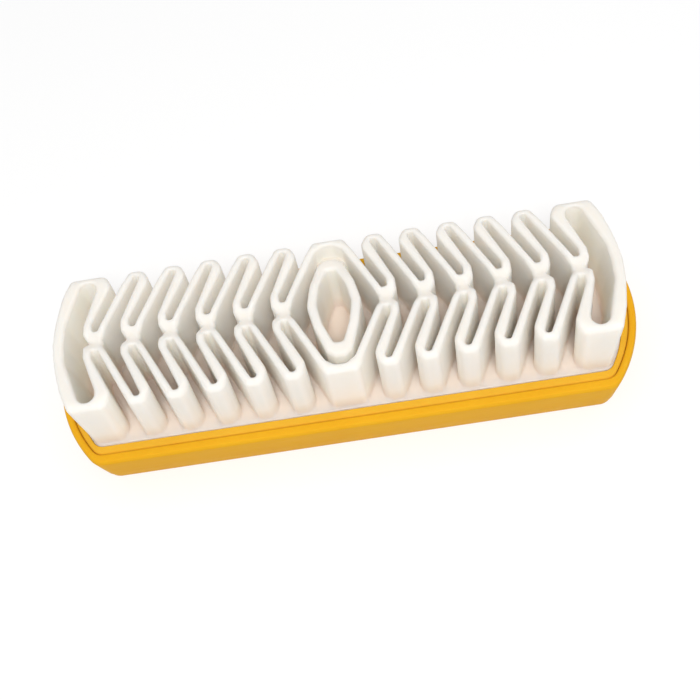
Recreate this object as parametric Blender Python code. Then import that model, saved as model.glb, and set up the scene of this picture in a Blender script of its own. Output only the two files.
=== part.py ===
# Suede brush: a white rubber head of serpentine fins held by a carrier that snaps into a yellow tray.
# X runs along the length, Y across, Z up from the flat back of the tray. Sizes below are in millimetres.
from math import atan2, cos, hypot, pi, sin, tan

import bmesh
import bpy

MM = 0.001
FIT = 0.3  # clearance left between neighbouring pieces
SHARP_ANGLE = 0.6  # edges that turn more than this, in radians, stay crisp

# Tray
LENGTH = 125.0
WIDTH = 42.0
TRAY_HEIGHT = 12.0
END_RADIUS = 32.0
CORNER_RADIUS = 3.5
LEAST_CORNER = 3.0
SIDE_TAPER = 2.2
BACK_EDGE = 1.0
RIM_EDGE = 0.5
RIM_WIDTH = 2.1
END_RIM_WIDTH = 1.6
SHELL_WALL = 2.0
SHELL_FLOOR = 1.8
RIB_WIDTH = 1.5
RIB_ROOT = 0.5
CROSS_RIBS = 5
CROSS_RIB_PITCH = 20.0
CATCH_LENGTH = 9.0
CATCH_REACH = 0.75
CATCH_ROOT = 0.8
CATCH_HEIGHT = 1.0
CATCH_DROP = 3.0
CATCH_X = 36.0
WINDOW_DEPTH = 1.0

# Carrier
LIP_WIDTH = 1.35
END_LIP_WIDTH = 1.0
LIP_DROP = 0.2
LIP_EDGE = 0.25
PLATE_THICK = 1.8
STUD_DIAMETER = 6.0
STUD_EDGE = 0.4
STUDS = 5
STUD_PITCH = 20.0
STUD_ROW_Y = 8.4

# Rubber head
PAD_THICK = 3.5
PAD_EDGE = 0.15
PAD_CORNER = 2.5
FIN_HEIGHT = 15.0
FOOT_FLARE = 0.25
FOOT_HEIGHT = 0.9
TOP_EDGE = 0.4

# Plan of the fins: each edge of the first turn is a line through two points, and the turns repeat along x
PITCH = 7.96
RIGHT_ARM_OUTER = ((13.1, 4.0), (9.45, 13.1))
RIGHT_ARM_INNER = ((11.25, 4.2), (6.8, 13.2))
LEFT_ARM_OUTER = ((9.2, 0.8), (3.1, 13.0))
LEFT_ARM_INNER = ((10.05, 2.4), (4.35, 14.4))
WEB_RIGHT = 12.1
WEB_HALF = 1.75
NOSE_SETBACK = 0.65
NOSE_CORNER = 2.9
NOSE_CHAMFER = 1.4
NOSE_WALL = 1.55
NOSE_RADII = (1.5, 0.5, 0.5, 1.5, 2.5, 1.7)
SLOT_RADII = (0.25, 1.2, 1.5, 0.5, 0.5, 0.8, 0.0)

# Plan of the centre ring
HOLE_SIDE = ((3.6, 0.0), (2.75, 4.6))
HOLE_TIP = 0.95
HOLE_DROP = 7.4
HOLE_RADII = (3.0, 4.0, 0.9)
RING_SIDE = ((5.7, 0.0), (4.75, 5.0))
RING_SLOT_TIP = 0.7
RING_SLOT_DROP = 3.9
RING_SLOT_RADII = (4.0, 5.0, 0.3, 0.3, 0.8, 0.0)

# Plan of the end walls: how far each point stands in from the wall's middle, and how far from the spine
END_OVERHANG = 0.2
END_WALL_OUTSIDE = ((0.0, 0.0), (0.6, 5.5), (1.7, 11.0))
END_WALL_INSIDE = ((2.4, 0.0), (2.7, 4.5))
END_TIP_OUTSIDE = 3.4
END_TIP_INSIDE = 6.0
END_SLOT = 4.5
END_SLOT_KNEE = 3.6
END_SLOT_DROP = 3.9
END_SLOT_WALL = 1.6
END_ARM_SHIFT = 0.7
END_NOSE_SHIFT = 0.3
END_LEAN = 1.7
END_LEAN_REACH = 7.2
END_LEAN_FADE = 3.6
END_SLOT_RADII = (0.25, 1.0, 1.2, 1.5, 1.7, 1.8, 6.0, 0.0)
END_WALL_RADII = (1.2, 8.0, 12.0, 20.0)

# Low places in the tops of the fins
WEB_DIP = 1.0
WEB_RADIUS = 2.0
WEB_OVERRUN = 0.7
SADDLE_DROP = 3.7
SADDLE_RADII = (3.6, 2.8, 3.2)
SADDLE_RISE = 2.0

# Places that follow from the sizes above
TOTAL_HEIGHT = TRAY_HEIGHT + FIN_HEIGHT
LIP_TOP = TRAY_HEIGHT - LIP_DROP
PAD_BOTTOM = TRAY_HEIGHT - PAD_THICK
PLATE_TOP = PAD_BOTTOM - FIT
PLATE_BOTTOM = PLATE_TOP - PLATE_THICK
PAD_HALF_LENGTH = LENGTH / 2 - END_RIM_WIDTH - END_LIP_WIDTH - 2 * FIT
PAD_HALF_WIDTH = WIDTH / 2 - RIM_WIDTH - LIP_WIDTH - 2 * FIT
WEB_LEFT = LEFT_ARM_OUTER[0][0]
NOSE_Y = PAD_HALF_WIDTH - NOSE_SETBACK
END_X = PAD_HALF_LENGTH + END_OVERHANG
TURNS = 1 + int((END_X - END_WALL_INSIDE[0][0] - END_SLOT - WEB_RIGHT) / PITCH)

YELLOW = (0.85, 0.45, 0.03, 1.0)
YELLOW_INNER = (0.80, 0.40, 0.025, 1.0)
RUBBER_WHITE = (0.86, 0.83, 0.77, 1.0)


def clear_scene():
    for obj in list(bpy.data.objects):
        bpy.data.objects.remove(obj)


def material(name, colour, roughness):
    mat = bpy.data.materials.new(name)
    mat.use_nodes = True
    shader = mat.node_tree.nodes["Principled BSDF"]
    shader.inputs["Base Color"].default_value = colour
    shader.inputs["Roughness"].default_value = roughness
    shader.inputs["Metallic"].default_value = 0.0
    return mat


def finish(bm, name, mat, origin_z):
    bmesh.ops.recalc_face_normals(bm, faces=bm.faces)
    bmesh.ops.translate(bm, vec=(0.0, 0.0, -origin_z), verts=bm.verts)
    bmesh.ops.scale(bm, vec=(MM, MM, MM), verts=bm.verts)
    mesh = bpy.data.meshes.new(name)
    bm.to_mesh(mesh)
    bm.free()
    obj = bpy.data.objects.new(name, mesh)
    obj.location = (0.0, 0.0, origin_z * MM)
    bpy.context.scene.collection.objects.link(obj)
    mesh.materials.append(mat)
    return obj


def bake(obj, others):
    """Keeps the result of the modifiers as the object's own mesh and drops the other solids."""
    depsgraph = bpy.context.evaluated_depsgraph_get()
    baked = bpy.data.meshes.new_from_object(obj.evaluated_get(depsgraph))
    obj.modifiers.clear()
    obj.data = baked
    baked.shade_smooth()
    baked.set_sharp_from_angle(angle=SHARP_ANGLE)
    for other in others:
        bpy.data.objects.remove(other)


def combine(obj, others, operation):
    """Joins the other solids to the object or cuts them out of it."""
    for other in others:
        other.hide_render = True
        other.display_type = "WIRE"
        modifier = obj.modifiers.new(other.name, "BOOLEAN")
        modifier.operation = operation
        modifier.solver = "EXACT"
        modifier.object = other
    bake(obj, others)


def fillet(points, radii, steps):
    """Rounds each corner of a closed outline."""
    outline = []
    count = len(points)
    for i, (x, y) in enumerate(points):
        radius = radii[i]
        if radius == 0.0:
            outline.append((x, y))
            continue
        ax, ay = points[i - 1][0] - x, points[i - 1][1] - y
        bx, by = points[(i + 1) % count][0] - x, points[(i + 1) % count][1] - y
        la, lb = hypot(ax, ay), hypot(bx, by)
        ax, ay, bx, by = ax / la, ay / la, bx / lb, by / lb
        cross = ax * by - ay * bx
        dot = ax * bx + ay * by
        half = 0.5 * atan2(abs(cross), dot)
        reach = radius / tan(half)
        mx, my = ax + bx, ay + by
        lm = hypot(mx, my)
        cx = x + mx / lm * radius / sin(half)
        cy = y + my / lm * radius / sin(half)
        start = atan2(y + ay * reach - cy, x + ax * reach - cx)
        end = atan2(y + by * reach - cy, x + bx * reach - cx)
        turn = (end - start + pi) % (2.0 * pi) - pi
        for step in range(steps + 1):
            angle = start + turn * step / steps
            outline.append((cx + radius * cos(angle), cy + radius * sin(angle)))
    return outline


def tray_outline(half_length, half_width, end_radius, corner_radius, steps=6):
    """An oblong with bowed ends and rounded corners, the same count of points at every size."""
    centre = half_length - end_radius
    inner = end_radius - corner_radius
    corner_y = half_width - corner_radius
    tilt = atan2(corner_y, (inner * inner - corner_y * corner_y) ** 0.5)
    quarter = [(centre + end_radius * cos(tilt * i / steps), end_radius * sin(tilt * i / steps))
               for i in range(steps)]
    corner_x = centre + inner * cos(tilt)
    quarter += [(corner_x + corner_radius * cos(tilt + (pi / 2 - tilt) * i / steps),
                 corner_y + corner_radius * sin(tilt + (pi / 2 - tilt) * i / steps))
                for i in range(steps + 1)]
    top = quarter + [(-x, y) for x, y in reversed(quarter)]
    return top + [(x, -y) for x, y in reversed(top[1:-1])]


def rim_outline(side_inset, end_inset=None):
    """The tray outline drawn in by one distance at the sides and by another, or the same, at the ends."""
    if end_inset is None:
        end_inset = side_inset
    return tray_outline(LENGTH / 2 - end_inset, WIDTH / 2 - side_inset, END_RADIUS - end_inset,
                        max(CORNER_RADIUS - side_inset, LEAST_CORNER))


def ring(bm, outline, z):
    return [bm.verts.new((x, y, z)) for x, y in outline]


def skin(bm, lower, upper):
    for i in range(len(lower)):
        bm.faces.new((lower[i - 1], lower[i], upper[i], upper[i - 1]))


def loft(bm, levels):
    rings = [ring(bm, outline, z) for outline, z in levels]
    for lower, upper in zip(rings, rings[1:]):
        skin(bm, lower, upper)
    return rings


def fill(bm, rings, z_normal):
    """Closes the flat area between the given loops."""
    edges = []
    for loop in rings:
        for i in range(len(loop)):
            edge = bm.edges.get((loop[i - 1], loop[i]))
            edges.append(edge or bm.edges.new((loop[i - 1], loop[i])))
    bmesh.ops.triangle_fill(bm, use_beauty=True, edges=edges, normal=(0.0, 0.0, z_normal))


def box(name, centre, size):
    bm = bmesh.new()
    bmesh.ops.create_cube(bm, size=1.0)
    bmesh.ops.scale(bm, vec=size, verts=bm.verts)
    bmesh.ops.translate(bm, vec=centre, verts=bm.verts)
    return finish(bm, name, None, 0.0)


def rod_along_x(name, centre, radius, length, sides=24):
    bm = bmesh.new()
    section = circle(centre[1], centre[2], radius, sides)
    rings = [[bm.verts.new((x, y, z)) for y, z in section]
             for x in (centre[0] - length / 2, centre[0] + length / 2)]
    skin(bm, rings[0], rings[1])
    bm.faces.new(rings[0])
    bm.faces.new(rings[1])
    return finish(bm, name, None, 0.0)


def dish(name, centre, radii):
    bm = bmesh.new()
    bmesh.ops.create_uvsphere(bm, u_segments=20, v_segments=12, radius=1.0)
    bmesh.ops.scale(bm, vec=radii, verts=bm.verts)
    bmesh.ops.translate(bm, vec=centre, verts=bm.verts)
    return finish(bm, name, None, 0.0)


def circle(x, y, radius, sides=16):
    angles = [2 * pi * i / sides for i in range(sides)]
    return [(x + radius * cos(angle), y + radius * sin(angle)) for angle in angles]


def wall_inset(z):
    """How far the tapered outside of the tray stands in from its widest line, just under the rim."""
    widest = TRAY_HEIGHT - RIM_EDGE
    return SIDE_TAPER * (widest - z) / widest


def inner_inset(z, rim_width):
    """How far the inside of the tray wall stands in, where the wall ends in a rim of that width."""
    return wall_inset(z) + SHELL_WALL + (rim_width - SHELL_WALL) * z / TRAY_HEIGHT


def inner_outline(z, clearance):
    return rim_outline(inner_inset(z, RIM_WIDTH) + clearance, inner_inset(z, END_RIM_WIDTH) + clearance)


def catch_boxes(name, clearance, extra_depth):
    """The six snap catches on the tray wall; larger and deeper, they make the windows in the carrier."""
    reach = CATCH_REACH + extra_depth
    depth = reach + CATCH_ROOT
    middle = (CATCH_ROOT - reach) / 2
    length = CATCH_LENGTH + 2 * clearance
    height = CATCH_HEIGHT + 2 * clearance
    z = TRAY_HEIGHT - CATCH_DROP + CATCH_HEIGHT / 2
    wall_y = WIDTH / 2 - inner_inset(z, RIM_WIDTH)
    wall_x = LENGTH / 2 - inner_inset(z, END_RIM_WIDTH)
    boxes = []
    for side in (-1, 1):
        for x in (-CATCH_X, CATCH_X):
            centre = (x, side * (wall_y + middle), z)
            boxes.append(box(f"{name}_{len(boxes)}", centre, (length, depth, height)))
        centre = (side * (wall_x + middle), 0.0, z)
        boxes.append(box(f"{name}_{len(boxes)}", centre, (depth, length, height)))
    return boxes


def support_ribs():
    """Ribs on the tray floor that stop just under the carrier plate."""
    top = PLATE_BOTTOM - FIT
    bottom = SHELL_FLOOR / 2
    middle = (top + bottom) / 2
    into_end = inner_inset(top, END_RIM_WIDTH) - RIB_ROOT
    into_side = inner_inset(top, RIM_WIDTH) - RIB_ROOT
    long_size = (LENGTH - 2 * into_end, RIB_WIDTH, top - bottom)
    cross_size = (RIB_WIDTH, WIDTH - 2 * into_side, top - bottom)
    ribs = [box("long_rib", (0.0, 0.0, middle), long_size)]
    for i in range(CROSS_RIBS):
        x = (i - (CROSS_RIBS - 1) / 2) * CROSS_RIB_PITCH
        ribs.append(box(f"cross_rib_{i}", (x, 0.0, middle), cross_size))
    return ribs


def outer_shell(mat):
    bm = bmesh.new()
    levels = [
        (rim_outline(wall_inset(0.0) + BACK_EDGE), 0.0),
        (rim_outline(wall_inset(0.0) + 0.3 * BACK_EDGE), 0.3 * BACK_EDGE),
        (rim_outline(wall_inset(BACK_EDGE)), BACK_EDGE),
        (rim_outline(wall_inset(TRAY_HEIGHT - RIM_EDGE)), TRAY_HEIGHT - RIM_EDGE),
        (rim_outline(RIM_EDGE * 0.3), TRAY_HEIGHT - 0.15 * RIM_EDGE),
        (rim_outline(RIM_EDGE), TRAY_HEIGHT),
        (rim_outline(RIM_WIDTH, END_RIM_WIDTH), TRAY_HEIGHT),
        (inner_outline(SHELL_FLOOR, 0.0), SHELL_FLOOR),
    ]
    rings = loft(bm, levels)
    bm.faces.new(rings[0])
    bm.faces.new(rings[-1])
    shell = finish(bm, "outer_shell", mat, 0.0)
    combine(shell, support_ribs() + catch_boxes("catch", 0.0, 0.0), "UNION")
    return shell


def pad_outline(grow):
    return tray_outline(PAD_HALF_LENGTH + grow, PAD_HALF_WIDTH + grow, END_RADIUS - END_RIM_WIDTH + grow,
                        PAD_CORNER + grow)


def stud_places():
    columns = [(i - (STUDS - 1) / 2) * STUD_PITCH for i in range(STUDS)]
    return [(x, side * STUD_ROW_Y) for x in columns for side in (-1, 1)]


def carrier_insert(mat):
    bm = bmesh.new()
    levels = [
        (inner_outline(PLATE_BOTTOM, FIT), PLATE_BOTTOM),
        (rim_outline(RIM_WIDTH + FIT, END_RIM_WIDTH + FIT), LIP_TOP - LIP_EDGE),
        (rim_outline(RIM_WIDTH + FIT + LIP_EDGE, END_RIM_WIDTH + FIT + LIP_EDGE), LIP_TOP),
        (pad_outline(FIT + LIP_EDGE), LIP_TOP),
        (pad_outline(FIT), LIP_TOP - LIP_EDGE),
        (pad_outline(FIT), PLATE_TOP),
    ]
    rings = loft(bm, levels)
    holes = [circle(x, y, STUD_DIAMETER / 2 + FIT) for x, y in stud_places()]
    bottoms = [ring(bm, hole, PLATE_BOTTOM) for hole in holes]
    tops = [ring(bm, hole, PLATE_TOP) for hole in holes]
    for low, high in zip(bottoms, tops):
        skin(bm, low, high)
    fill(bm, [rings[0]] + bottoms, -1.0)
    fill(bm, [rings[-1]] + tops, 1.0)
    insert = finish(bm, "carrier_insert", mat, PLATE_BOTTOM)
    combine(insert, catch_boxes("window", FIT, WINDOW_DEPTH), "DIFFERENCE")
    return insert


def shifted(points, k):
    return [(x + PITCH * k, y) for x, y in points]


def between(line, y):
    """The x of a fin edge at a distance from the spine."""
    (x0, y0), (x1, y1) = line
    return x0 + (x1 - x0) * (y - y0) / (y1 - y0)


def slot_half(k):
    """Half of the closed slot between two spine turns, from one web out to the nose and back."""
    end_y = NOSE_Y - NOSE_WALL
    left = [(WEB_RIGHT, 0.0), (RIGHT_ARM_OUTER[0][0], WEB_HALF), RIGHT_ARM_OUTER[0],
            (between(RIGHT_ARM_OUTER, end_y), end_y)]
    right = [(between(LEFT_ARM_OUTER, end_y) + PITCH, end_y),
             (LEFT_ARM_OUTER[0][0] + PITCH, LEFT_ARM_OUTER[0][1]), (WEB_LEFT + PITCH, 0.0)]
    return shifted(left + right, k)


def closed_slot(k):
    return fillet(both_sides(slot_half(k)), both_sides(SLOT_RADII), 2)


def both_sides(half):
    """The whole outline, or its radii, from the upper half, with what lies on the spine kept once."""
    lower = [p if isinstance(p, float) else (p[0], -p[1]) for p in reversed(half[1:-1])]
    return list(half) + lower


def centre_hole():
    half = list(HOLE_SIDE) + [(HOLE_TIP, NOSE_Y - HOLE_DROP)]
    upper = half + [(-x, y) for x, y in reversed(half)]
    return fillet(both_sides(upper), both_sides(HOLE_RADII + HOLE_RADII[::-1]), 2)


def ring_slot():
    """The slot on the right of the centre ring, between it and the first spine turn."""
    tip_y = NOSE_Y - RING_SLOT_DROP
    tip_x = between(LEFT_ARM_OUTER, tip_y)
    half = list(RING_SIDE) + [(tip_x - RING_SLOT_TIP, tip_y), (tip_x, tip_y)]
    half += [LEFT_ARM_OUTER[0], (WEB_LEFT, 0.0)]
    return fillet(both_sides(half), both_sides(RING_SLOT_RADII), 2)


def end_slot():
    """The wide slot inside the end wall."""
    start = PITCH * (TURNS - 1)
    arm_x = RIGHT_ARM_OUTER[0][0] + start
    tip_y = NOSE_Y - END_SLOT_DROP
    tip_x = between(RIGHT_ARM_OUTER, tip_y) + start + END_ARM_SHIFT
    end_y = NOSE_Y - END_SLOT_WALL
    half = [(WEB_RIGHT + start, 0.0), (arm_x, WEB_HALF), (arm_x, END_SLOT_KNEE), (tip_x, tip_y),
            (tip_x, end_y), (END_X - END_TIP_INSIDE, end_y)]
    half += [(END_X - inward, y) for inward, y in reversed(END_WALL_INSIDE)]
    return fillet(both_sides(half), both_sides(END_SLOT_RADII), 3)


def fins_edge():
    """The outside of the fins: noses, the open slots between them and the bowed end walls."""
    points, radii = [(0.0, NOSE_Y)], [0.0]
    corner_y = NOSE_Y - NOSE_CORNER
    turn_end = LEFT_ARM_INNER[0]
    for k in range(TURNS):
        nose_x = between(RIGHT_ARM_INNER, corner_y) + (END_NOSE_SHIFT if k == TURNS - 1 else 0.0)
        half_turn = [(between(LEFT_ARM_INNER, NOSE_Y), NOSE_Y), turn_end,
                     (RIGHT_ARM_INNER[0][0], turn_end[1]), RIGHT_ARM_INNER[0],
                     (nose_x, corner_y), (nose_x + NOSE_CHAMFER, NOSE_Y)]
        points += shifted(half_turn, k)
        radii += NOSE_RADII
    points += [(END_X - END_TIP_OUTSIDE, NOSE_Y)]
    points += [(END_X - inward, y) for inward, y in reversed(END_WALL_OUTSIDE)]
    radii += END_WALL_RADII
    right = points + [(x, -y) for x, y in reversed(points[:-1])]
    right_radii = radii + radii[-2::-1]
    whole = right + [(-x, y) for x, y in reversed(right[1:-1])]
    return fillet(whole, right_radii + right_radii[-2:0:-1], 2)


def area(outline):
    return 0.5 * sum(outline[i - 1][0] * outline[i][1] - outline[i][0] * outline[i - 1][1]
                     for i in range(len(outline)))


def grown(outline, distance):
    """Moves an outline along its own normals, outward for a positive distance."""
    side = 1.0 if area(outline) > 0 else -1.0
    moved = []
    count = len(outline)
    for i, (x, y) in enumerate(outline):
        ax, ay = x - outline[i - 1][0], y - outline[i - 1][1]
        bx, by = outline[(i + 1) % count][0] - x, outline[(i + 1) % count][1] - y
        la, lb = hypot(ax, ay), hypot(bx, by)
        nx, ny = ay / la + by / lb, -ax / la - bx / lb
        ln = hypot(nx, ny)
        nx, ny = nx / ln, ny / ln
        reach = distance / max(0.5, nx * ay / la - ny * ax / la)
        moved.append((x + side * nx * reach, y + side * ny * reach))
    return moved


def lean(outline, z):
    """Draws the foot of the two end walls in from their tops."""
    drop = END_LEAN * (TOTAL_HEIGHT - z) / FIN_HEIGHT
    leaned = []
    for x, y in outline:
        share = min(1.0, max(0.0, (END_LEAN_REACH - END_X + abs(x)) / END_LEAN_FADE))
        leaned.append((x - drop * share * (1 if x > 0 else -1), y))
    return leaned


def fin_levels(outline, sign):
    """Foot, wall and softened top edge of one outline of the fins."""
    steps = [(FOOT_FLARE, TRAY_HEIGHT), (0.4 * FOOT_FLARE, TRAY_HEIGHT + FOOT_HEIGHT),
             (0.0, TOTAL_HEIGHT - TOP_EDGE), (-0.8 * TOP_EDGE, TOTAL_HEIGHT)]
    return [(lean(grown(outline, sign * grow), z), z) for grow, z in steps]


def top_dips():
    """Cutters for the low webs along the spine and the low tips of the centre ring."""
    span = PITCH * (TURNS - 1)
    web_length = WEB_RIGHT - WEB_LEFT + span + 2 * WEB_OVERRUN
    web_x = (WEB_LEFT + WEB_RIGHT + span) / 2
    web_z = TOTAL_HEIGHT + WEB_RADIUS - WEB_DIP
    saddle_y = NOSE_Y - SADDLE_DROP
    saddle_z = TOTAL_HEIGHT + SADDLE_RISE
    cutters = []
    for side in (-1, 1):
        cutters.append(rod_along_x(f"web_dip_{side}", (side * web_x, 0.0, web_z), WEB_RADIUS, web_length))
        cutters.append(dish(f"saddle_{side}", (0.0, side * saddle_y, saddle_z), SADDLE_RADII))
    return cutters


def rubber_head(mat):
    bm = bmesh.new()
    outer = loft(bm, fin_levels(fins_edge(), 1.0))
    slots = [centre_hole()]
    for side in (1, -1):
        for outline in [ring_slot(), end_slot()] + [closed_slot(k) for k in range(TURNS - 1)]:
            slots.append([(side * x, y) for x, y in outline])
    inner = [loft(bm, fin_levels(slot, -1.0)) for slot in slots]
    fill(bm, [outer[-1]] + [rings[-1] for rings in inner], 1.0)
    for rings in inner:
        fill(bm, [rings[0]], 1.0)
    pad = loft(bm, [(pad_outline(0.0), PAD_BOTTOM), (pad_outline(0.0), TRAY_HEIGHT - PAD_EDGE),
                    (pad_outline(-PAD_EDGE), TRAY_HEIGHT)])
    fill(bm, [pad[-1], outer[0]], 1.0)
    studs = [loft(bm, [(circle(x, y, STUD_DIAMETER / 2 - STUD_EDGE), PLATE_BOTTOM),
                       (circle(x, y, STUD_DIAMETER / 2), PLATE_BOTTOM + STUD_EDGE),
                       (circle(x, y, STUD_DIAMETER / 2), PAD_BOTTOM)]) for x, y in stud_places()]
    for stud in studs:
        bm.faces.new(stud[0])
    fill(bm, [pad[0]] + [stud[-1] for stud in studs], -1.0)
    head = finish(bm, "rubber_head", mat, PLATE_BOTTOM)
    combine(head, top_dips(), "DIFFERENCE")
    return head


def main():
    clear_scene()
    outer_shell(material("yellow_shell", YELLOW, 0.38))
    carrier_insert(material("yellow_carrier", YELLOW_INNER, 0.42))
    rubber_head(material("white_rubber", RUBBER_WHITE, 0.6))


main()
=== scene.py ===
# Suede brush: the visual model of the white rubber head and the two yellow mouldings that hold it.
# Shapes are drawn in millimetres in the solids' frame: X along the brush, Y across it, Z up from its back.
# Walls are lofted from outlines, and the faces between them are nets of triangles at a surface's heights.
from math import atan2, ceil, cos, hypot, pi, radians, sin, sqrt, tan

import bmesh
import bpy
import numpy as np
from mathutils import Matrix, Vector
from mathutils.geometry import area_tri, delaunay_2d_cdt
from mathutils.kdtree import KDTree

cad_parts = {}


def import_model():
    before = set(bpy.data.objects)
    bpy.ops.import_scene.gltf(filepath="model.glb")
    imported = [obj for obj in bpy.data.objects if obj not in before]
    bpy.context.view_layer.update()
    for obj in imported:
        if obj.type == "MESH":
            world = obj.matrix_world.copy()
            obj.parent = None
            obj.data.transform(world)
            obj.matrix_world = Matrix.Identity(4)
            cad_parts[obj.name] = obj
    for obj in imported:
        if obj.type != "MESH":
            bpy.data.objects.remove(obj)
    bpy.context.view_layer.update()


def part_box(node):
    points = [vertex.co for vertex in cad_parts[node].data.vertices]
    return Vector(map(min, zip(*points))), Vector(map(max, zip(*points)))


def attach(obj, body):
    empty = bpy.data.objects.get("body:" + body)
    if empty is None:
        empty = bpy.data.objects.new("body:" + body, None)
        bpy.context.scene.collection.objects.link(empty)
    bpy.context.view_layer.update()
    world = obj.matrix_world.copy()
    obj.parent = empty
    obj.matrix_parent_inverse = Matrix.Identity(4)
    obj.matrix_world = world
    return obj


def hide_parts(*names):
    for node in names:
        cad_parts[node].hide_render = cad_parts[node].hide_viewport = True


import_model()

MM = 0.001
ARC_STEP = 0.22
OUTLINE_STEPS = 20
SHELL_LOW, SHELL_HIGH = (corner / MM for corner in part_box("outer_shell"))
HEAD_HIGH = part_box("rubber_head")[1] / MM
CARRIER_LOW, CARRIER_HIGH = (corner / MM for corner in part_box("carrier_insert"))

# Tray and carrier
LENGTH = SHELL_HIGH.x - SHELL_LOW.x
WIDTH = SHELL_HIGH.y - SHELL_LOW.y
TRAY_HEIGHT = SHELL_HIGH.z
END_RADIUS = 32.0
CORNER_RADIUS = 3.5
SIDE_TAPER = 2.2
BACK_EDGE = 1.0
BACK_FLAT_INSET = 6.55
TAPER_LEVELS = (3.0, 5.5, 8.0)
RIM_EDGE = 0.5
RIM_EDGE_HEIGHT = 1.2
RIM_INNER_EDGE = 0.55
RIM_WIDTH = 2.1
END_RIM_WIDTH = 1.6
SHELL_WALL = 2.0
SHELL_FLOOR = 1.8
FLOOR_CORNER = 0.6
POCKET_LEVELS = (9.0, 5.0, SHELL_FLOOR + FLOOR_CORNER)
LIP_TOP = CARRIER_HIGH.z
PLATE_BOTTOM = CARRIER_LOW.z
PLATE_TOP = PLATE_BOTTOM + 1.8
LIP_GAP = 0.10
LIP_EDGE = 0.5
LIP_INNER_EDGE = 0.2
LIP_FOOT_Z = 9.0
PLATE_CLEARANCE = 0.3
PAD_GAP = 0.06
PAD_EDGE = 0.15
PAD_CORNER = 2.5

# Rubber head
FOOT_Z = TRAY_HEIGHT
TOP_Z = HEAD_HIGH.z
PAD_HALF_LENGTH = LENGTH / 2 - END_RIM_WIDTH - 1.6
PAD_HALF_WIDTH = HEAD_HIGH.y
PAD_BOTTOM = TRAY_HEIGHT - 3.5
PAD_SHOULDER_Z = 10.5
STUD_RADIUS = 3.0
STUD_EDGE = 0.4
STUD_ROWS_Y = 8.4
STUD_SPACING = 20.0
STUDS_IN_ROW = 5
END_X = PAD_HALF_LENGTH + 0.2
END_LEAN = 1.7
LEAN_START = 7.2
LEAN_RUN = 3.6
WALL_SHARES = (0.0, 0.12, 0.4, 0.7, 0.9, 1.0)
NOSE_Y = PAD_HALF_WIDTH - 0.65
PITCH = 7.96
TURNS = 6
WEB_LEFT = 9.2
WEB_RIGHT = 12.1
RIGHT_BEND = (13.15, 1.75)
RIGHT_ARM_OUTER = ((13.1, 4.0), (9.45, 13.1))
RIGHT_ARM_INNER = ((11.25, 4.2), (6.8, 13.2))
LEFT_ARM_OUTER = ((WEB_LEFT, 0.8), (3.1, 13.0))
LEFT_ARM_INNER = ((10.05, 2.4), (4.35, 14.4))
NOSE_BEVEL_X = 1.4
NOSE_BEVEL_Y = 2.9
LAST_NOSE_SHIFT = 0.3
CLOSED_SLOT_END_Y = NOSE_Y - 1.55
END_SLOT_END_Y = NOSE_Y - 1.6
END_SLOT_CORNER_X = 50.3
SURROUND_CORNER_Y = 13.3
SURROUND_TIP = (1.2, 14.65)
WEB_DIP = 1.25
RING_TIP_DROP = 0.9
GROOVE_RISE = 10.2

# Light and floor, in metres
WORLD_LIGHT = 0.55
KEY_PLACE = (0.05, -0.37, 0.65)
KEY_TARGET = (0.0, 0.0, 0.01)
KEY_SIZE = 0.25
KEY_POWER = 3.5
FLOOR_HALF = 4.0


def between(line, y):
    """The x of a fin edge at a distance from the spine."""
    (x0, y0), (x1, y1) = line
    return x0 + (x1 - x0) * (y - y0) / (y1 - y0)


def fillet(points, radii):
    """Rounds each corner of a closed outline, with one point about every ARC_STEP radians."""
    outline = []
    count = len(points)
    for i, (x, y) in enumerate(points):
        radius = radii[i]
        if radius == 0.0:
            outline.append((x, y))
            continue
        ax, ay = points[i - 1][0] - x, points[i - 1][1] - y
        bx, by = points[(i + 1) % count][0] - x, points[(i + 1) % count][1] - y
        la, lb = hypot(ax, ay), hypot(bx, by)
        ax, ay, bx, by = ax / la, ay / la, bx / lb, by / lb
        half = 0.5 * atan2(abs(ax * by - ay * bx), ax * bx + ay * by)
        reach = radius / tan(half)
        mx, my = ax + bx, ay + by
        lm = hypot(mx, my)
        cx = x + mx / lm * radius / sin(half)
        cy = y + my / lm * radius / sin(half)
        start = atan2(y + ay * reach - cy, x + ax * reach - cx)
        end = atan2(y + by * reach - cy, x + bx * reach - cx)
        turn = (end - start + pi) % (2.0 * pi) - pi
        steps = max(2, ceil(abs(turn) / ARC_STEP))
        for k in range(steps + 1):
            angle = start + turn * k / steps
            outline.append((cx + radius * cos(angle), cy + radius * sin(angle)))
    return outline


def spaced(outline, longest):
    """Adds points so that no stretch of a closed outline is longer than the given length."""
    result = []
    for i, (x, y) in enumerate(outline):
        px, py = outline[i - 1]
        parts = max(1, ceil(hypot(x - px, y - py) / longest))
        result += [(px + (x - px) * k / parts, py + (y - py) * k / parts) for k in range(1, parts + 1)]
    return result


def mirrored_half(half):
    """The whole outline, or its radii, from the upper half, with what lies on the spine kept once."""
    lower = [p if isinstance(p, float) else (p[0], -p[1]) for p in reversed(half[1:-1])]
    return list(half) + lower


def closed_slot(k):
    """The slot between turn k and the next, which the noses close at both ends."""
    end_y = CLOSED_SLOT_END_Y
    left = [(WEB_RIGHT, 0.0), RIGHT_BEND, RIGHT_ARM_OUTER[0], (between(RIGHT_ARM_OUTER, end_y), end_y)]
    right = [(between(LEFT_ARM_OUTER, end_y), end_y), LEFT_ARM_OUTER[0], (WEB_LEFT, 0.0)]
    half = [(x + PITCH * k, y) for x, y in left] + [(x + PITCH * (k + 1), y) for x, y in right]
    return fillet(mirrored_half(half), mirrored_half([0.25, 1.2, 1.5, 0.6, 0.6, 0.8, 0.0]))


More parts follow.
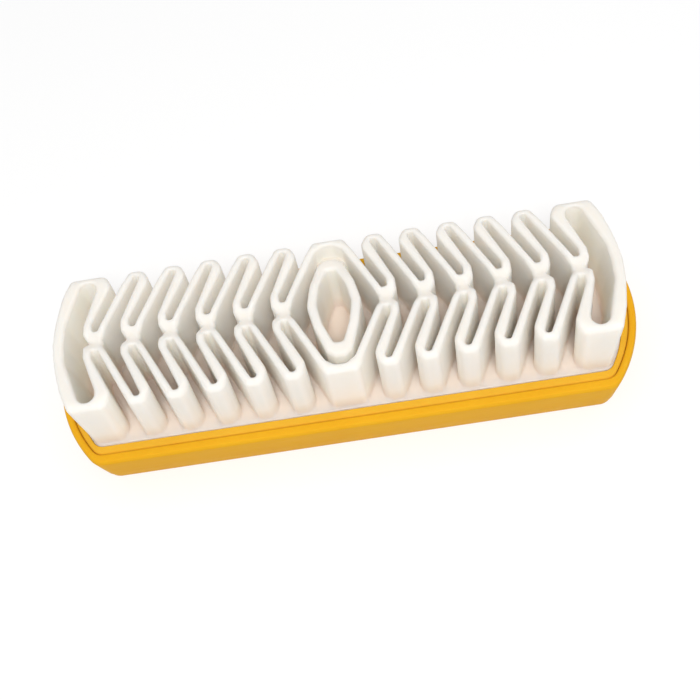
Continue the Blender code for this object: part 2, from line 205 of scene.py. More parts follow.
def quarter_outline(quarter, radii):
    """A closed outline from its part between the spine and the cross axis, the same on all four sides."""
    half = list(quarter) + [(-x, y) for x, y in reversed(quarter)]
    half_radii = list(radii) + list(reversed(radii))
    return fillet(mirrored_half(half), mirrored_half(half_radii))


def centre_hole():
    """The six-sided hole in the centre ring."""
    return quarter_outline([(3.6, 0.0), (2.75, 4.6), (0.95, 8.9)], [3.0, 4.0, 0.85])


def ring_outside():
    """The outside of the centre ring, with its two blunt tips."""
    return quarter_outline([(5.7, 0.0), (4.75, 5.0), (2.75, 10.7), (1.2, 12.0)], [4.0, 5.0, 1.6, 1.8])


def ring_surround():
    """The inner edge of the first turn's left arms, joined round the tips of the ring."""
    corner = (between(LEFT_ARM_OUTER, SURROUND_CORNER_Y), SURROUND_CORNER_Y)
    return quarter_outline([(WEB_LEFT, 0.0), LEFT_ARM_OUTER[0], corner, SURROUND_TIP], [0.0, 0.8, 1.2, 1.6])


def end_slot():
    """The wide slot between the last turn and the end wall."""
    start = PITCH * (TURNS - 1)
    arm_side = [(WEB_RIGHT + start, 0.0), (RIGHT_BEND[0] + start, RIGHT_BEND[1]),
                (RIGHT_ARM_OUTER[0][0] + start, 3.9), (END_SLOT_CORNER_X, 12.2)]
    end_side = [(END_SLOT_CORNER_X, END_SLOT_END_Y), (END_X - 6.0, END_SLOT_END_Y),
                (END_X - 2.7, 4.5), (END_X - 2.4, 0.0)]
    half = arm_side + end_side
    return fillet(mirrored_half(half), mirrored_half([0.25, 1.0, 1.2, 1.5, 1.7, 1.8, 6.0, 0.0]))


def fins_edge():
    """The outside of the fins: noses, the open slots between them and the bowed end walls."""
    points, radii = [(0.0, NOSE_Y)], [0.0]
    for k in range(TURNS):
        nose_x = RIGHT_ARM_INNER[1][0] + (LAST_NOSE_SHIFT if k == TURNS - 1 else 0.0)
        turn = [(between(LEFT_ARM_INNER, NOSE_Y), NOSE_Y), LEFT_ARM_INNER[0],
                (RIGHT_ARM_INNER[0][0], LEFT_ARM_INNER[0][1]), RIGHT_ARM_INNER[0],
                (nose_x, NOSE_Y - NOSE_BEVEL_Y), (nose_x + NOSE_BEVEL_X, NOSE_Y)]
        points += [(x + PITCH * k, y) for x, y in turn]
        radii += [1.5, 0.5, 0.5, 1.5, 2.8, 1.8]
    points += [(END_X - 3.4, NOSE_Y), (END_X - 1.7, 11.0), (END_X - 0.6, 5.5), (END_X, 0.0)]
    radii += [1.5, 8.0, 12.0, 20.0]
    right = points + [(x, -y) for x, y in reversed(points[:-1])]
    right_radii = radii + radii[-2::-1]
    whole = right + [(-x, y) for x, y in reversed(right[1:-1])]
    return fillet(whole, right_radii + right_radii[-2:0:-1])


def signed_area(outline):
    """The area inside a closed outline, positive where it runs anticlockwise."""
    return 0.5 * sum(outline[i - 1][0] * y - x * outline[i - 1][1] for i, (x, y) in enumerate(outline))


def grown(outline, distances):
    """Moves each point of an outline along its own normal, outward for a positive distance."""
    side = 1.0 if signed_area(outline) > 0 else -1.0
    moved = []
    count = len(outline)
    for i, (x, y) in enumerate(outline):
        ax, ay = x - outline[i - 1][0], y - outline[i - 1][1]
        bx, by = outline[(i + 1) % count][0] - x, outline[(i + 1) % count][1] - y
        la, lb = hypot(ax, ay), hypot(bx, by)
        nx, ny = ay / la + by / lb, -ax / la - bx / lb
        ln = hypot(nx, ny)
        nx, ny = nx / ln, ny / ln
        reach = distances[i] / max(0.5, nx * ay / la - ny * ax / la)
        moved.append((x + side * nx * reach, y + side * ny * reach))
    return moved


def ease(low, high, value):
    """0 below low, 1 above high and a smooth rise between them."""
    t = min(1.0, max(0.0, (value - low) / (high - low)))
    return t * t * (3.0 - 2.0 * t)


def fin_top(x, y):
    """Height of the fins' tops, with the low webs along the spine."""
    x, y = abs(x), abs(y)
    last_web = WEB_RIGHT + PITCH * (TURNS - 1)
    web = ease(WEB_LEFT - 1.0, WEB_LEFT, x) * (1.0 - ease(last_web - 0.3, last_web + 1.1, x))
    dip = WEB_DIP * web * (1.0 - ease(0.0, 3.3, y))
    return TOP_Z - dip - 0.15 * ease(13.5, 16.1, y)


def ring_top(x, y):
    """Height of the centre ring, which slopes down to its two tips."""
    return TOP_Z - RING_TIP_DROP * ease(4.0, 10.0, abs(y)) - 0.5 * ease(8.5, 12.5, abs(y))


def pad_top(x, y):
    """Height of the pad, which is flat."""
    return FOOT_Z


def groove_floor(x, y):
    """Floor of the slot round the centre ring, high where it passes the tips."""
    return FOOT_Z + GROOVE_RISE * ease(10.2, 13.0, abs(y))


def outer_edge(x, y):
    """Rounding of the fins' outer top edges: soft on the noses, tighter along the arms."""
    return 0.75 + 0.55 * ease(12.4, 15.2, abs(y))


def inner_edge(x, y):
    """Rounding of the top edges in the slots and on the centre ring."""
    return 0.8 - 0.25 * ease(12.4, 14.5, abs(y))


def foot_flare(x, y):
    """Radius of the rubber's round foot on the pad, outside the fins."""
    return 0.3 + 0.25 * ease(14.2, 15.8, abs(y))


def slot_flare(x, y):
    """Radius of the rubber's round foot inside the slots."""
    return 0.5 - 0.25 * ease(5.0, 12.0, abs(y))


def lean(x, z):
    """How far the foot of an end wall stands in from its top."""
    share = min(1.0, max(0.0, (LEAN_START - END_X + abs(x)) / LEAN_RUN))
    return -END_LEAN * (TOP_Z - z) / (TOP_Z - FOOT_Z) * share * (1 if x > 0 else -1)


def gap_to(points, loops):
    """Distance from each point to the nearest side of the closed loops, found from the nearest corner."""
    corners = np.array([p for loop in loops for p in loop])
    before = np.array([p for loop in loops for p in loop[-1:] + loop[:-1]])
    after = np.array([p for loop in loops for p in loop[1:] + loop[:1]])
    tree = KDTree(len(corners))
    for i, (x, y) in enumerate(corners):
        tree.insert((x, y, 0.0), i)
    tree.balance()
    nearest = np.array([tree.find((x, y, 0.0))[1] for x, y in points])
    away = np.asarray(points) - corners[nearest]
    gaps = []
    for other in (before, after):
        side = other[nearest] - corners[nearest]
        length = np.maximum((side ** 2).sum(axis=1), 1e-12)
        share = np.clip((away * side).sum(axis=1) / length, 0.0, 1.0)
        gaps.append(np.hypot(*(away - share[:, None] * side).T))
    return np.minimum(*gaps)


def rolled(points, level, edges):
    """Heights of a surface that rolls over a quarter circle at its edges, each (loops, radius, direction)."""
    heights = np.array([level(x, y) for x, y in points])
    for loops, radius, direction in edges:
        radii = np.array([radius(x, y) for x, y in points])
        share = np.clip(1.0 - gap_to(points, loops) / radii, 0.0, 1.0)
        heights += direction * radii * (1.0 - np.sqrt(1.0 - share ** 2))
    return heights


def wall(bm, outline, foot, top):
    """A wall from foot heights to top heights along an outline; returns its first and last loops."""
    loops = []
    for share in WALL_SHARES:
        loop = [(x, y, low + (high - low) * share) for (x, y), low, high in zip(outline, foot, top)]
        loops.append([(x + lean(x, z), y, z) for x, y, z in loop])
    rings = skin(bm, loops)
    return rings[0], rings[-1]


def skin(bm, loops):
    """Lofts through closed loops and returns their vertices."""
    rings = [[bm.verts.new(point) for point in loop] for loop in loops]
    for lower, upper in zip(rings, rings[1:]):
        for i in range(len(lower)):
            bm.faces.new((lower[i - 1], lower[i], upper[i], upper[i - 1]))
    return rings


def inside(points, loops):
    """Which points lie inside an odd count of the closed loops."""
    odd = np.zeros(len(points), bool)
    px, py = points[:, 0], points[:, 1]
    for loop in loops:
        for (x0, y0), (x1, y1) in zip(loop, loop[1:] + loop[:1]):
            if y0 == y1:
                continue
            crosses = (y0 > py) != (y1 > py)
            odd ^= crosses & (px < x0 + (x1 - x0) * (py - y0) / (y1 - y0))
    return odd


def net(loops, rows, spacing):
    """Points inside an area: rows along its edges at the given distances, and an even grid between them."""
    cell_size = 0.1
    row_gap = 0.87 * spacing
    least_gap = 0.62 * spacing
    known = [point for loop in loops for point in loop]
    taken = {(round(x / cell_size), round(y / cell_size)) for x, y in known}
    found = []
    for row in rows:
        near = [p for loop in loops for side in (1.0, -1.0) for p in grown(loop, [side * row] * len(loop))]
        near = np.array(near)
        keep = inside(near, loops) & (gap_to(near, loops) > 0.97 * row)
        for x, y in near[keep]:
            cell = (round(x / cell_size), round(y / cell_size))
            if cell not in taken:
                taken.add(cell)
                found.append((x, y))
    tree = KDTree(len(known) + len(found))
    for i, (x, y) in enumerate(known + found):
        tree.insert((x, y, 0.0), i)
    tree.balance()
    low, high = np.array(known).min(axis=0), np.array(known).max(axis=0)
    grid = np.array([(x + 0.5 * spacing * (row % 2), y)
                     for row, y in enumerate(np.arange(low[1] + 0.4 * spacing, high[1], row_gap))
                     for x in np.arange(low[0], high[0], spacing)])
    for x, y in grid[inside(grid, loops)]:
        if tree.find((x, y, 0.0))[2] > least_gap:
            found.append((x, y))
    return found


def cover(bm, rings, level, edges=(), rows=(), spacing=6.0):
    """Closes the area between loops of vertices with a net of triangles at the heights of a surface."""
    verts = [v for ring in rings for v in ring]
    loops = [[(v.co.x, v.co.y) for v in ring] for ring in rings]
    on_border = set(verts)
    border, first = [], 0
    for ring in rings:
        border += [(first + i, first + (i + 1) % len(ring)) for i in range(len(ring))]
        first += len(ring)
    extra = net(loops, rows, spacing)
    plan = [Vector(p) for loop in loops for p in loop] + [Vector(p) for p in extra]
    points, _, faces, sources, _, _ = delaunay_2d_cdt(plan, border, [], 0, 1e-6)
    heights = rolled(np.array([tuple(p) for p in points]), level, edges)
    made = []
    for point, source, height in zip(points, sources, heights):
        old = [i for i in source if i < len(verts)]
        made.append(verts[old[0]] if old else bm.verts.new((point.x, point.y, height)))
    centres = np.array([sum((points[i] for i in face), Vector((0.0, 0.0))) / 3.0 for face in faces])
    for face, keep in zip(faces, inside(centres, loops)):
        corners = [made[i] for i in face]
        straight = abs(area_tri(*(points[i] for i in face))) < 1e-4 and set(corners) <= on_border
        if keep and len(set(corners)) == 3 and not straight:
            bm.faces.new(corners)


def tray_outline(half_length, half_width, end_radius, corner_radius):
    """An oblong with bowed ends and rounded corners, the same count of points at every size."""
    centre = half_length - end_radius
    inner = end_radius - corner_radius
    corner_y = half_width - corner_radius
    tilt = atan2(corner_y, sqrt(inner * inner - corner_y * corner_y))
    steps = OUTLINE_STEPS
    quarter = [(centre + end_radius * cos(tilt * i / steps), end_radius * sin(tilt * i / steps))
               for i in range(steps)]
    corner_x = centre + inner * cos(tilt)
    quarter += [(corner_x + corner_radius * cos(tilt + (pi / 2 - tilt) * i / steps),
                 corner_y + corner_radius * sin(tilt + (pi / 2 - tilt) * i / steps))
                for i in range(steps + 1)]
    top = quarter + [(-x, y) for x, y in reversed(quarter)]
    return top + [(x, -y) for x, y in reversed(top[1:-1])]


def at_height(outline, z):
    """An outline as a loop of points in space."""
    return [(x, y, z) for x, y in outline]


def rim_outline(side_inset, end_inset=None):
    """The tray outline drawn in by one distance at the sides and by another, or the same, at the ends."""
    if end_inset is None:
        end_inset = side_inset
    return tray_outline(LENGTH / 2 - end_inset, WIDTH / 2 - side_inset, END_RADIUS - end_inset,
                        max(CORNER_RADIUS - side_inset, 3.0))


def seam_outline(gap):
    """The inner edge of the rim, drawn in by a gap."""
    return rim_outline(RIM_WIDTH + gap, END_RIM_WIDTH + gap)


def pad_outline(grow):
    """The outline of the rubber pad, grown outward by a distance."""
    return tray_outline(PAD_HALF_LENGTH + grow, PAD_HALF_WIDTH + grow, END_RADIUS - END_RIM_WIDTH + grow,
                        PAD_CORNER + grow)


def wall_inset(z):
    """How far the tapered outside of the tray stands in from its widest line, just under the rim."""
    widest = TRAY_HEIGHT - RIM_EDGE_HEIGHT
    return SIDE_TAPER * (widest - z) / widest


def inner_outline(z, clearance=0.0):
    """The inside of the tray wall at a height."""
    side, end = (wall_inset(z) + SHELL_WALL + (rim - SHELL_WALL) * z / TRAY_HEIGHT + clearance
                 for rim in (RIM_WIDTH, END_RIM_WIDTH))
    return rim_outline(side, end)


def new_piece(bm, name, stands_for):
    """Turns a finished mesh into an object in metres that rides on the body and replaces its solid."""
    bmesh.ops.recalc_face_normals(bm, faces=bm.faces)
    bmesh.ops.scale(bm, vec=(MM, MM, MM), verts=bm.verts)
    mesh = bpy.data.meshes.new(name)
    bm.to_mesh(mesh)
    bm.free()
    mesh.shade_smooth()
    mesh.set_sharp_from_angle(angle=radians(50.0))
    piece = bpy.data.objects.new(name, mesh)
    bpy.context.scene.collection.objects.link(piece)
    weigh = piece.modifiers.new("even_shading", "WEIGHTED_NORMAL")
    weigh.keep_sharp = True
    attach(piece, "root")
    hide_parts(stands_for)
    return piece


def rounded(outline_at, inset, z, radius, turn_from, turn_to, steps, height=None):
    """Loops round an outer edge, where outline_at gives the outline at an inset; 0 degrees is the wall."""
    loops = []
    for k in range(steps + 1):
        angle = radians(turn_from + (turn_to - turn_from) * k / steps)
        outline = outline_at(inset + radius * (1.0 - cos(angle)))
        loops.append(at_height(outline, z + (height or radius) * sin(angle)))
    return loops


def turned_in(outline_at, z, radius):
    """Loops round an inner top edge, from the flat top down into the pocket, by the outline at a width."""
    loops = []
    for degrees in (0.0, 30.0, 60.0, 90.0):
        angle = radians(degrees)
        outline = outline_at(radius * (1.0 - sin(angle)))
        loops.append(at_height(outline, z - radius * (1.0 - cos(angle))))
    return loops


def tray():
    """The yellow tray: its rounded back, tapered wall, rolled rim and the pocket inside."""
    bm = bmesh.new()
    back = wall_inset(0.0)
    loops = [at_height(rim_outline(back + BACK_FLAT_INSET), 0.0)]
    loops += rounded(rim_outline, back, BACK_EDGE, BACK_EDGE, -90.0, 0.0, 6)
    loops += [at_height(rim_outline(wall_inset(z)), z) for z in TAPER_LEVELS]
    widest = TRAY_HEIGHT - RIM_EDGE_HEIGHT
    loops += rounded(rim_outline, 0.0, widest, RIM_EDGE, 0.0, 90.0, 6, RIM_EDGE_HEIGHT)
    loops += turned_in(lambda width: seam_outline(-width), TRAY_HEIGHT, RIM_INNER_EDGE)
    loops += [at_height(inner_outline(z), z) for z in POCKET_LEVELS]
    loops += [at_height(inner_outline(SHELL_FLOOR, FLOOR_CORNER), SHELL_FLOOR)]
    rings = skin(bm, loops)
    cover(bm, [rings[0]], lambda x, y: 0.0)
    cover(bm, [rings[-1]], lambda x, y: SHELL_FLOOR)
    return new_piece(bm, "tray", "outer_shell")


def carrier():
    """The yellow carrier: a plate under the pad and the frame round it, seen as the second yellow band."""
    bm = bmesh.new()
    loops = [at_height(inner_outline(PLATE_BOTTOM, PLATE_CLEARANCE), PLATE_BOTTOM)]
    loops += [at_height(seam_outline(LIP_GAP + 0.1), LIP_FOOT_Z)]
    loops += rounded(seam_outline, LIP_GAP, LIP_TOP - LIP_EDGE, LIP_EDGE, 0.0, 90.0, 4)
    loops += turned_in(lambda width: pad_outline(PAD_GAP + width), LIP_TOP, LIP_INNER_EDGE)
    loops += [at_height(pad_outline(PAD_GAP), PLATE_TOP)]
    rings = skin(bm, loops)
    cover(bm, [rings[0]], lambda x, y: PLATE_BOTTOM)
    cover(bm, [rings[-1]], lambda x, y: PLATE_TOP)
    return new_piece(bm, "carrier", "carrier_insert")


def stud(bm, x, y):
    """A short peg under the pad that holds the rubber in the carrier's plate."""
    sizes = [(STUD_RADIUS - STUD_EDGE, PLATE_BOTTOM), (STUD_RADIUS - 0.1, PLATE_BOTTOM + 0.12),
             (STUD_RADIUS, PLATE_BOTTOM + STUD_EDGE), (STUD_RADIUS, PAD_BOTTOM)]
    turns = [2.0 * pi * k / 32 for k in range(32)]
    rings = skin(bm, [[(x + r * cos(a), y + r * sin(a), z) for a in turns] for r, z in sizes])
    cover(bm, [rings[0]], lambda x, y: PLATE_BOTTOM)
    return rings[-1]


def rubber_head():
    """The white rubber: winding fins, centre ring and end walls on a pad with its studs, as one skin."""
    bm = bmesh.new()
    fins = spaced(fins_edge(), 0.6)
    slots = [spaced([(side * x, y) for x, y in outline], 0.6)
             for side in (1, -1) for outline in [end_slot()] + [closed_slot(k) for k in range(TURNS - 1)]]
    surround = spaced(ring_surround(), 0.5)
    ring = spaced(ring_outside(), 0.5)
    hole = spaced(centre_hole(), 0.5)
    tops = [([fins], outer_edge, -1.0), (slots + [surround], inner_edge, -1.0)]
    ring_tops = [([ring, hole], inner_edge, -1.0)]

    def raised(outline, floor, flare, level, edges):
        foot = [floor(x, y) + flare(x, y) for x, y in outline]
        return wall(bm, outline, foot, rolled(np.array(outline), level, edges))

    outer = raised(fins, pad_top, foot_flare, fin_top, tops)
    inner = [raised(slot, pad_top, slot_flare, fin_top, tops) for slot in slots]
    groove = raised(surround, groove_floor, slot_flare, fin_top, tops)
    rim = raised(ring, groove_floor, slot_flare, ring_top, ring_tops)
    well = raised(hole, pad_top, slot_flare, ring_top, ring_tops)

    edge_rows = (0.05, 0.15, 0.3, 0.5, 0.75, 1.0)
    foot_rows = (0.04, 0.12, 0.25, 0.4)
    cover(bm, [outer[1], groove[1]] + [loops[1] for loops in inner], fin_top, tops, edge_rows, 0.6)
    cover(bm, [rim[1], well[1]], ring_top, ring_tops, edge_rows, 0.6)
    for loops in inner + [well]:
        plan = [[(v.co.x, v.co.y) for v in loops[0]]]
        cover(bm, [loops[0]], pad_top, [(plan, slot_flare, 1.0)], foot_rows, 1.5)
    plan = [[(v.co.x, v.co.y) for v in loop] for loop in (groove[0], rim[0])]
    cover(bm, [groove[0], rim[0]], groove_floor, [(plan, slot_flare, 1.0)], foot_rows, 0.5)

    pad = [at_height(pad_outline(0.0), z) for z in (PAD_BOTTOM, PAD_SHOULDER_Z)]
    pad += rounded(lambda inset: pad_outline(-inset), 0.0, TRAY_HEIGHT - PAD_EDGE, PAD_EDGE, 0.0, 90.0, 3)
    pad = skin(bm, pad)
    plan = [[(v.co.x, v.co.y) for v in outer[0]]]
    cover(bm, [pad[-1], outer[0]], pad_top, [(plan, foot_flare, 1.0)], foot_rows, 1.5)
    studs = [stud(bm, STUD_SPACING * (i - (STUDS_IN_ROW - 1) / 2), side * STUD_ROWS_Y)
             for i in range(STUDS_IN_ROW) for side in (-1, 1)]
    cover(bm, [pad[0]] + studs, lambda x, y: PAD_BOTTOM)
    return new_piece(bm, "rubber_fins", "rubber_head")


class Nodes:
    """Short calls for building a material's node tree."""

    def __init__(self, name):
        self.material = bpy.data.materials.new(name)
        self.material.use_nodes = True
        self.tree = self.material.node_tree
        self.shader = self.tree.nodes["Principled BSDF"]

    def add(self, kind, **settings):
        node = self.tree.nodes.new(kind)
        for key, value in settings.items():
            setattr(node, key, value)
        return node

    def link(self, source, target):
        self.tree.links.new(source, target)

    def noise(self, position, scale, detail, roughness):
        node = self.add("ShaderNodeTexNoise")
        node.inputs["Scale"].default_value = scale
        node.inputs["Detail"].default_value = detail
        node.inputs["Roughness"].default_value = roughness
        self.link(position, node.inputs["Vector"])
        return node.outputs["Fac"]

    def ramp(self, value, stops):
        """Turns a value into a colour between two stops, each (place, colour)."""
        node = self.add("ShaderNodeValToRGB")
        for element, (place, colour) in zip(node.color_ramp.elements, stops):
            element.position = place
            element.color = (*colour, 1.0)
        self.link(value, node.inputs["Fac"])
        return node.outputs["Color"]

    def span(self, value, from_low, from_high, to_low, to_high):
        """Maps a value from one range to another and holds it inside the second."""
        node = self.add("ShaderNodeMapRange", clamp=True)
        limits = {"From Min": from_low, "From Max": from_high, "To Min": to_low, "To Max": to_high}
        for key, number in limits.items():
            node.inputs[key].default_value = number
        self.link(value, node.inputs["Value"])
        return node.outputs["Result"]

    def mix(self, factor, first, second):
        """Blends two colours; each of the three may be a value or another node's output."""
        node = self.add("ShaderNodeMix", data_type="RGBA")
        for value, name in ((factor, 0), (first, 6), (second, 7)):
            if isinstance(value, (int, float, tuple)):
                node.inputs[name].default_value = value
            else:
                self.link(value, node.inputs[name])
        return node.outputs[2]

    def maths(self, operation, first, second=None):
        node = self.add("ShaderNodeMath", operation=operation)
        for value, index in ((first, 0), (second, 1)):
            if value is None:
                continue
            if isinstance(value, (int, float)):
                node.inputs[index].default_value = value
            else:
                self.link(value, node.inputs[index])
        return node.outputs[0]

    def bumps(self, layers):
        """Stacks bump maps given as (height, strength, depth in metres)."""
        normal = None
        for height, strength, depth in layers:
            node = self.add("ShaderNodeBump")
            node.inputs["Strength"].default_value = strength
            node.inputs["Distance"].default_value = depth
            self.link(height, node.inputs["Height"])
            if normal is not None:
                self.link(normal, node.inputs["Normal"])
            normal = node.outputs["Normal"]
        self.link(normal, self.shader.inputs["Normal"])


def plastic(name, colour, deep, worn):
    """Moulded plastic with a fine spark-eroded grain, faint handling marks and slightly rubbed edges."""
    nodes = Nodes(name)
    place = nodes.add("ShaderNodeTexCoord").outputs["Object"]
    geometry = nodes.add("ShaderNodeNewGeometry")
    clouds = nodes.noise(place, 60.0, 4.0, 0.6)
    grain = nodes.noise(place, 5200.0, 2.0, 0.5)
    waves = nodes.noise(place, 45.0, 2.0, 0.4)
    stretched = nodes.add("ShaderNodeMapping")
    stretched.inputs["Scale"].default_value = (0.12, 1.0, 1.0)
    stretched.inputs["Rotation"].default_value = (0.2, 0.3, 0.5)
    nodes.link(place, stretched.inputs["Vector"])
    marks = nodes.noise(stretched.outputs["Vector"], 900.0, 3.0, 0.75)
    edge = nodes.span(geometry.outputs["Pointiness"], 0.56, 0.66, 0.0, 0.35)
    base = nodes.ramp(clouds, [(0.25, deep), (0.75, colour)])
    base = nodes.mix(edge, base, (*worn, 1.0))
    nodes.link(base, nodes.shader.inputs["Base Color"])
    rough = nodes.span(marks, 0.35, 0.75, 0.33, 0.46)
    nodes.link(rough, nodes.shader.inputs["Roughness"])
    nodes.shader.inputs["IOR"].default_value = 1.45
    nodes.shader.inputs["Specular IOR Level"].default_value = 0.02
    nodes.shader.inputs["Subsurface Weight"].default_value = 0.12
    nodes.shader.inputs["Subsurface Radius"].default_value = (1.0, 0.45, 0.1)
    nodes.shader.inputs["Subsurface Scale"].default_value = 0.0012
    nodes.bumps([(waves, 0.25, 0.0004), (grain, 0.35, 0.00003), (marks, 0.12, 0.00002)])
    return nodes.material


def rubber(name):
    """Soft white moulded rubber: a matt skin, faint flow clouds, painted light on the upright walls between
    the fins, painted shade in the creases and painted warm bounce and shade low down and on the pad.
    """
    dull, clean = (0.85, 0.80, 0.735), (0.88, 0.83, 0.765)
    painted_wall_light, painted_crease_shade, painted_warm_bounce = (0.985, 0.925, 0.845, 1.0), (0.86, 0.77, 0.68, 1.0), (0.96, 0.865, 0.76, 1.0)
    painted_pad_shade_inside, painted_pad_shade_border = (0.82, 0.715, 0.625, 1.0), (0.77, 0.68, 0.61, 1.0)
    nodes = Nodes(name)
    coordinates = nodes.add("ShaderNodeTexCoord")
    place = coordinates.outputs["Object"]
    geometry = nodes.add("ShaderNodeNewGeometry")
    clouds = nodes.noise(place, 90.0, 4.0, 0.6)
    skin_grain = nodes.noise(place, 3600.0, 2.0, 0.5)
    flow = nodes.noise(place, 320.0, 3.0, 0.5)
    handled = nodes.ramp(clouds, [(0.3, dull), (0.7, clean)])
    split = nodes.add("ShaderNodeSeparateXYZ")
    nodes.link(place, split.inputs[0])
    from_spine = nodes.maths("ABSOLUTE", split.outputs["Y"])
    below = nodes.span(split.outputs["Z"], (TOP_Z - 1.2) * MM, (TOP_Z - 0.6) * MM, 1.0, 0.0)
    within = nodes.span(from_spine, (NOSE_Y - 1.4) * MM, (NOSE_Y - 0.5) * MM, 1.0, 0.0)
    facing = nodes.add("ShaderNodeSeparateXYZ")
    nodes.link(coordinates.outputs["Normal"], facing.inputs[0])
    upright = nodes.span(facing.outputs["Z"], 0.25, 0.7, 1.0, 0.0)
    painted_light_mask = nodes.maths("MULTIPLY", nodes.maths("MULTIPLY", below, within), upright)
    # Painted light: below the tops, the upright walls between the fins are made lighter, standing in for fill
    # light that reaches into the slots.
    base = nodes.mix(painted_light_mask, handled, painted_wall_light)
    # Painted shade: concave creases are darkened towards a warm tan.
    crease_shade_mask = nodes.span(geometry.outputs["Pointiness"], 0.40, 0.49, 0.15, 0.0)
    base = nodes.mix(crease_shade_mask, base, painted_crease_shade)
    # Painted warm bounce light and shade: low in the slots, most of all near the spine, the rubber is tinted
    # warm.
    middle = nodes.span(from_spine, 5.0 * MM, 13.0 * MM, 1.0, 0.3)
    low = nodes.span(split.outputs["Z"], FOOT_Z * MM, (FOOT_Z + 9.0) * MM, 1.0, 0.0)
    base = nodes.mix(nodes.maths("MULTIPLY", middle, low), base, painted_warm_bounce)
    # Painted shade and warm bounce light: the pad and the fins' feet are darker and pinker, most of all
    # towards the yellow border.
    border = nodes.span(from_spine, 14.6 * MM, 16.2 * MM, 0.0, 1.0)
    painted_pad_shade_mask = nodes.span(split.outputs["Z"], (FOOT_Z + 0.1) * MM, (FOOT_Z + 3.5) * MM, 0.9, 0.0)
    base = nodes.mix(painted_pad_shade_mask, base, nodes.mix(border, painted_pad_shade_inside, painted_pad_shade_border))
    nodes.link(base, nodes.shader.inputs["Base Color"])
    rough = nodes.span(flow, 0.3, 0.7, 0.52, 0.66)
    nodes.link(rough, nodes.shader.inputs["Roughness"])
    nodes.shader.inputs["IOR"].default_value = 1.43
    nodes.shader.inputs["Specular IOR Level"].default_value = 0.4
    nodes.shader.inputs["Subsurface Weight"].default_value = 0.9
    nodes.shader.inputs["Subsurface Radius"].default_value = (1.0, 0.90, 0.80)
    nodes.shader.inputs["Subsurface Scale"].default_value = 0.0035
    nodes.bumps([(flow, 0.2, 0.00012), (skin_grain, 0.3, 0.00004)])
    return nodes.material


def paint(piece, material):
    """Gives a piece its one material."""
    piece.data.materials.clear()
    piece.data.materials.append(material)


def seen_directly(tree):
    """1 where the camera sees a surface, directly or in a reflection, and 0 for light on other things."""
    path = tree.nodes.new("ShaderNodeLightPath")
    value = path.outputs["Is Camera Ray"]
    for name in ("Is Glossy Ray", "Is Transmission Ray"):
        larger = tree.nodes.new("ShaderNodeMath")
        larger.operation = "MAXIMUM"
        tree.links.new(value, larger.inputs[0])
        tree.links.new(path.outputs[name], larger.inputs[1])
        value = larger.outputs[0]
    return value


def pale_floor():
    """A wide pale floor that shows white to the camera and keeps the object's shadow."""
    mesh = bpy.data.meshes.new("floor")
    corners = [(FLOOR_HALF * x, FLOOR_HALF * y, 0.0) for x, y in ((-1, -1), (1, -1), (1, 1), (-1, 1))]
    mesh.from_pydata(corners, [], [(0, 1, 2, 3)])
    plane = bpy.data.objects.new("floor", mesh)
    bpy.context.scene.collection.objects.link(plane)
    nodes = Nodes("pale_floor")
    seen = seen_directly(nodes.tree)
    colour = nodes.mix(seen, (0.75, 0.75, 0.75, 1.0), (0.45, 0.45, 0.45, 1.0))
    nodes.link(colour, nodes.shader.inputs["Base Color"])
    nodes.link(nodes.maths("MULTIPLY", seen, 0.55), nodes.shader.inputs["Emission Strength"])
    nodes.shader.inputs["Emission Color"].default_value = (1.0, 1.0, 1.0, 1.0)
    nodes.shader.inputs["Roughness"].default_value = 0.9
    nodes.shader.inputs["Specular IOR Level"].default_value = 0.1
    mesh.materials.append(nodes.material)


def world():
    """An even white sky, at full strength only where the camera sees it."""
    made = bpy.data.worlds.new("studio")
    made.use_nodes = True
    tree = made.node_tree
    background = tree.nodes["Background"]
    background.inputs["Color"].default_value = (1.0, 1.0, 1.0, 1.0)
    strength = tree.nodes.new("ShaderNodeMapRange")
    strength.inputs["To Min"].default_value = WORLD_LIGHT
    strength.inputs["To Max"].default_value = 1.0
    tree.links.new(seen_directly(tree), strength.inputs["Value"])
    tree.links.new(strength.outputs["Result"], background.inputs["Strength"])
    bpy.context.scene.world = made


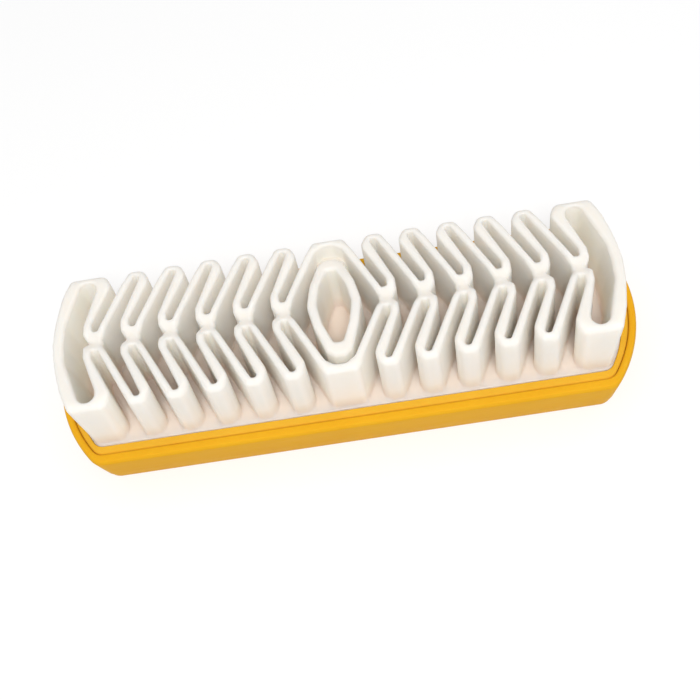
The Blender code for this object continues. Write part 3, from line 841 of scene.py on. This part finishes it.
def lamp(name, place, target, size, power):
    """A round soft lamp that faces its target."""
    data = bpy.data.lights.new(name, "AREA")
    data.shape = "DISK"
    data.size = size
    data.energy = power
    obj = bpy.data.objects.new(name, data)
    obj.location = place
    obj.rotation_euler = (Vector(place) - Vector(target)).to_track_quat("Z", "Y").to_euler()
    bpy.context.scene.collection.objects.link(obj)


def camera():
    """The photograph's viewpoint: a little to the right, looking down steeply, with the frame rolled."""
    azimuth, elevation, roll = 0.104, 1.013, -0.241
    distance, shift_right, shift_up = 0.250838, 0.001619, -0.002684
    centre = Vector((0.0, 0.0, 0.013))
    focal_pixels, picture_pixels = 1166.353, 700.0
    back = Vector((sin(azimuth) * cos(elevation), -cos(azimuth) * cos(elevation), sin(elevation)))
    level = Vector((0.0, 0.0, 1.0)).cross(back).normalized()
    upright = back.cross(level)
    right = cos(roll) * level + sin(roll) * upright
    up = cos(roll) * upright - sin(roll) * level
    place = distance * back + shift_right * right + shift_up * up + centre
    data = bpy.data.cameras.new("camera")
    data.sensor_width = 36.0
    data.lens = focal_pixels / picture_pixels * data.sensor_width
    data.clip_start = 0.01
    data.clip_end = 20.0
    obj = bpy.data.objects.new("camera", data)
    axes = Matrix((right, up, back)).transposed().to_4x4()
    obj.matrix_world = Matrix.Translation(place) @ axes
    bpy.context.scene.collection.objects.link(obj)
    bpy.context.scene.camera = obj


paint(tray(), plastic("moulded_yellow", colour=(0.785, 0.412, 0.019), deep=(0.745, 0.376, 0.015),
                      worn=(0.84, 0.48, 0.036)))
# The carrier's yellow is a paler copy of the tray's, standing in as painted sheen on its top-facing lip.
paint(carrier(), plastic("carrier_yellow_painted_sheen", colour=(0.775, 0.43, 0.036), deep=(0.735, 0.394, 0.029),
                         worn=(0.84, 0.495, 0.05)))
paint(rubber_head(), rubber("white_moulded_rubber"))

pale_floor()
world()
lamp("key", KEY_PLACE, KEY_TARGET, KEY_SIZE, KEY_POWER)
camera()
bpy.context.scene.view_settings.view_transform = "Standard"
